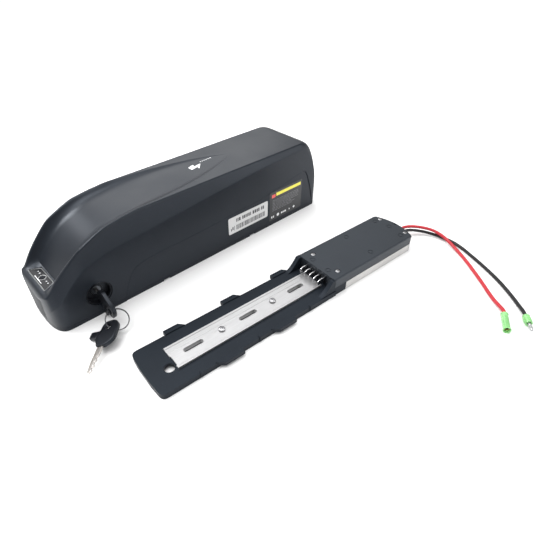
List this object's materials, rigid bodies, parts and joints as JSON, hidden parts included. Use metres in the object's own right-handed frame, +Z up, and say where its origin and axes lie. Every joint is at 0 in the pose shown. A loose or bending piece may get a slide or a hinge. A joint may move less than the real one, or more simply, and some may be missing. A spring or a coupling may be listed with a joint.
{
  "type": "battery pack",
  "caption": "Rechargeable down-tube battery pack with key lock and charge display, beside its rail cradle with a controller box, blade contacts and output leads.",
  "frame": {"origin": "on the floor, in the middle of the footprint of the pack and its cradle, without the leads", "axes": "+X along the cradle from its open end to its controller box, +Y across to the pack, +Z up"},
  "size_m": [0.5158, 0.4618, 0.115],
  "materials": {
    "case": "satin, fine grain",
    "aluminium": "natural anodised",
    "steel": "bright",
    "board": "solder mask",
    "black": "satin",
    "rubber": "matt",
    "red": "extruded insulation",
    "green": "translucent sleeve",
    "copper": "bright",
    "case_grey": "satin",
    "trim_grey": "satin",
    "lens": "polished",
    "nickel": "nickel plated",
    "cell": "wrapped in film",
    "foam": "open cell",
    "paper": "printed label",
    "film": "printed film"
  },
  "bodies": {
    "cradle": {"base_tray": "case", "rail_plate": "aluminium", "rail_screw_1": "steel", "rail_screw_2": "steel", "controller_cover": "case", "cover_screw_1": "steel", "cover_screw_2": "steel", "cover_screw_3": "steel", "cover_screw_4": "steel", "heat_sink": "aluminium", "controller_board": "board", "blade_contact_1": "steel", "blade_contact_2": "steel", "blade_contact_3": "steel", "blade_contact_4": "steel", "blade_contact_5": "steel", "terminal_block": "black", "cable_grommet": "rubber", "red_lead": "red", "black_lead": "black", "red_sleeve": "green", "red_socket": "copper", "black_sleeve": "green", "black_pin": "steel"},
    "pack": {"upper_shell": "case", "lower_shell": "case", "nose_panel": "case_grey", "case_screw_1": "steel", "case_screw_2": "steel", "case_screw_3": "steel", "case_screw_4": "steel", "display_bezel": "trim_grey", "display_lens": "lens", "display_board": "board", "lock_housing": "black", "charge_socket": "black", "cell_group_01": "cell", "cell_group_02": "cell", "cell_group_03": "cell", "cell_group_04": "cell", "cell_group_05": "cell", "cell_group_06": "cell", "cell_group_07": "cell", "cell_group_08": "cell", "cell_group_09": "cell", "cell_group_10": "cell", "bms_board": "board", "foam_spacer": "foam", "discharge_socket": "black", "rating_label": "paper", "info_label": "film"},
    "lock_plug": {"lock_plug": "steel"},
    "lock_bolt": {"lock_bolt": "steel"},
    "key": {"key_blade": "nickel", "key_bow": "black"},
    "key_ring": {"key_ring": "steel"},
    "spare_key": {"spare_key_blade": "nickel", "spare_key_bow": "black"},
    "button": {"display_button": "case_grey"},
    "charge_cap": {"charge_cap": "rubber"}
  },
  "joints": [
    {"name": "pack_lift", "type": "slide", "parent": "cradle", "child": "pack", "axis": [0, 0, 1], "range_m": [0, 0.15]},
    {"name": "lock_turn", "type": "hinge", "parent": "pack", "child": "lock_plug", "pos_m": [-0.17153, 0.04591, 0.031], "axis": [-0.075, 0.9972, 0], "range_deg": [0, 90]},
    {"name": "bolt_slide", "type": "slide", "parent": "pack", "child": "lock_bolt", "axis": [0, 0, -1], "range_m": [0, 0.009]},
    {"name": "key_slide", "type": "slide", "parent": "lock_plug", "child": "key", "axis": [0.075, -0.9972, 0], "range_m": [0, 0.025]},
    {"name": "ring_swing", "type": "hinge", "parent": "key", "child": "key_ring", "pos_m": [-0.16788, -0.00262, 0.02002], "axis": [0.9972, 0.075, 0], "range_deg": [-20, 0]},
    {"name": "spare_key_swing", "type": "hinge", "parent": "key_ring", "child": "spare_key", "pos_m": [-0.17919, -0.01807, 0.01162], "axis": [-0.3218, 0.2069, 0.9239], "range_deg": [0, 35]},
    {"name": "button_press", "type": "slide", "parent": "pack", "child": "button", "axis": [0, 0, -1], "range_m": [0, 0.001], "stiffness_N_per_m": 400},
    {"name": "cap_hinge", "type": "hinge", "parent": "pack", "child": "charge_cap", "pos_m": [-0.16267, 0.11476, 0.033], "axis": [0.9972, 0.075, 0], "range_deg": [0, 110]}
  ],
  "couplings": [
    {"joint": "bolt_slide", "follows": "lock_turn", "m_per_rad": 0.0057295}
  ]
}
